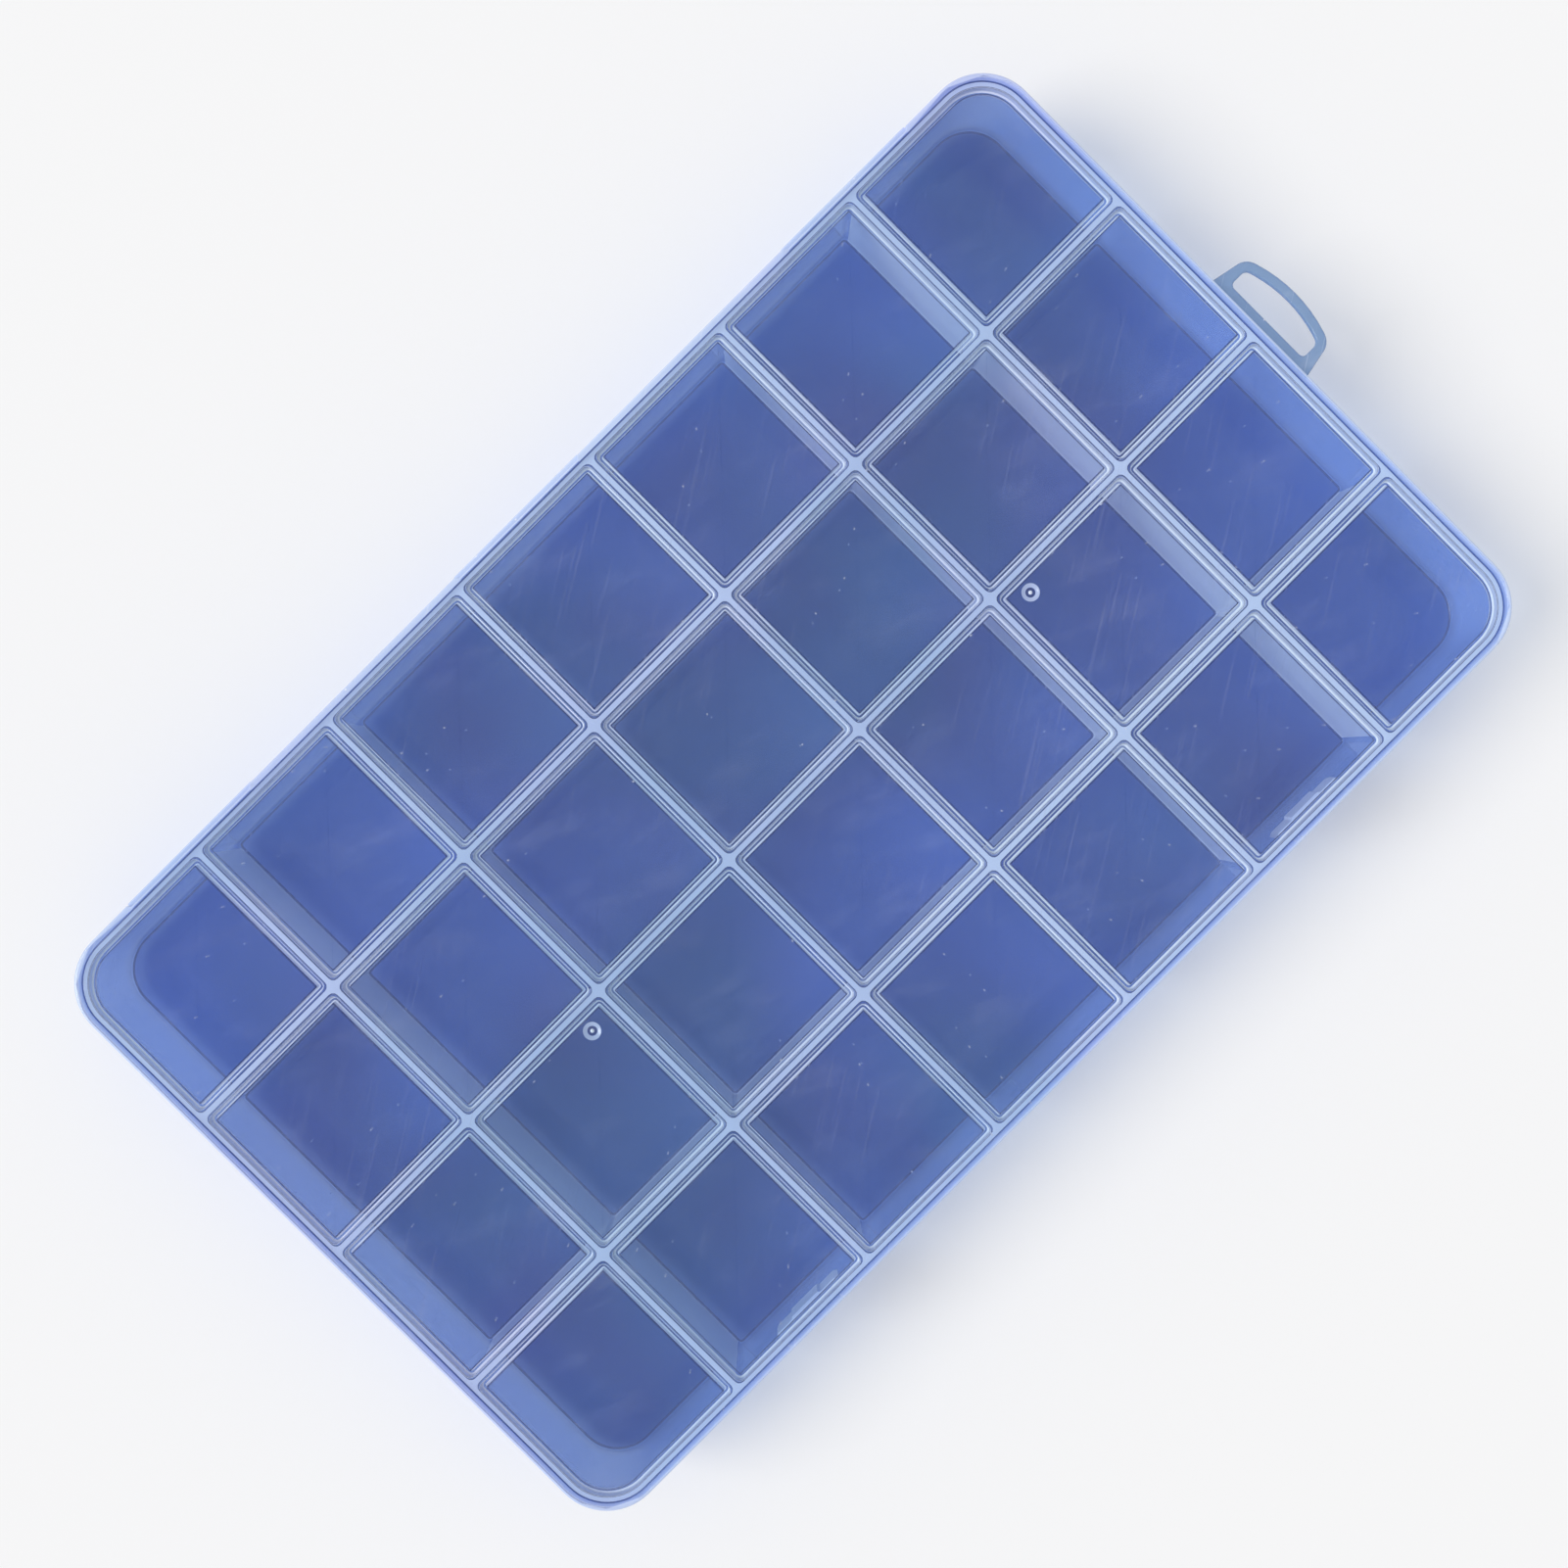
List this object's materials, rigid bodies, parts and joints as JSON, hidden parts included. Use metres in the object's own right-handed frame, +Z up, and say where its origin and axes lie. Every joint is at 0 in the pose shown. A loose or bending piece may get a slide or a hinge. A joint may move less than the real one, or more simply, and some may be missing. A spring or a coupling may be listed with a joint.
{
  "type": "compartment organizer box",
  "caption": "Flat clear plastic storage box with fixed compartments, a living-hinged lid with two snap latches, and a hanging loop at one end.",
  "frame": {"origin": "middle of the underside of the box; the hanging loop at one end isn't counted", "axes": "+X along the box towards the hanging loop, +Y from the latches to the hinge, +Z up"},
  "size_m": [0.2289, 0.1314, 0.023],
  "materials": {
    "tray_plastic": "clear polypropylene with a cool blue cast, smooth",
    "lid_plastic": "clear polypropylene with a cool blue cast, glossy",
    "hinge_plastic": "clear polypropylene, thin and slightly whitened where it bends"
  },
  "bodies": {
    "tray": {"tray_floor": "tray_plastic", "front_wall": "tray_plastic", "back_wall": "tray_plastic", "left_wall": "tray_plastic", "right_wall": "tray_plastic", "corner_walls": "tray_plastic", "tray_rim": "tray_plastic", "latch_catch_left": "tray_plastic", "latch_catch_right": "tray_plastic", "long_divider_1": "tray_plastic", "long_divider_2": "tray_plastic", "long_divider_3": "tray_plastic", "cross_divider_1": "tray_plastic", "cross_divider_2": "tray_plastic", "cross_divider_3": "tray_plastic", "cross_divider_4": "tray_plastic", "cross_divider_5": "tray_plastic", "cross_divider_6": "tray_plastic", "hang_loop": "tray_plastic", "hinge_web_left": "hinge_plastic", "hinge_web_centre": "hinge_plastic", "hinge_web_right": "hinge_plastic"},
    "lid": {"lid_panel": "lid_plastic", "lid_skirt": "lid_plastic", "lid_ribs": "lid_plastic"},
    "latch_left": {"latch_left": "lid_plastic"},
    "latch_right": {"latch_right": "lid_plastic"}
  },
  "joints": [
    {"name": "lid_hinge", "type": "hinge", "parent": "tray", "child": "lid", "pos_m": [0, 0.06565, 0.02112], "axis": [-1, 0, 0], "range_deg": [0, 180]},
    {"name": "latch_left_flex", "type": "hinge", "parent": "lid", "child": "latch_left", "pos_m": [-0.0602, -0.06555, 0.02113], "axis": [-1, 0, 0], "range_deg": [0, 8], "stiffness_Nm_per_rad": 0.12},
    {"name": "latch_right_flex", "type": "hinge", "parent": "lid", "child": "latch_right", "pos_m": [0.0602, -0.06555, 0.02113], "axis": [-1, 0, 0], "range_deg": [0, 8], "stiffness_Nm_per_rad": 0.12}
  ]
}
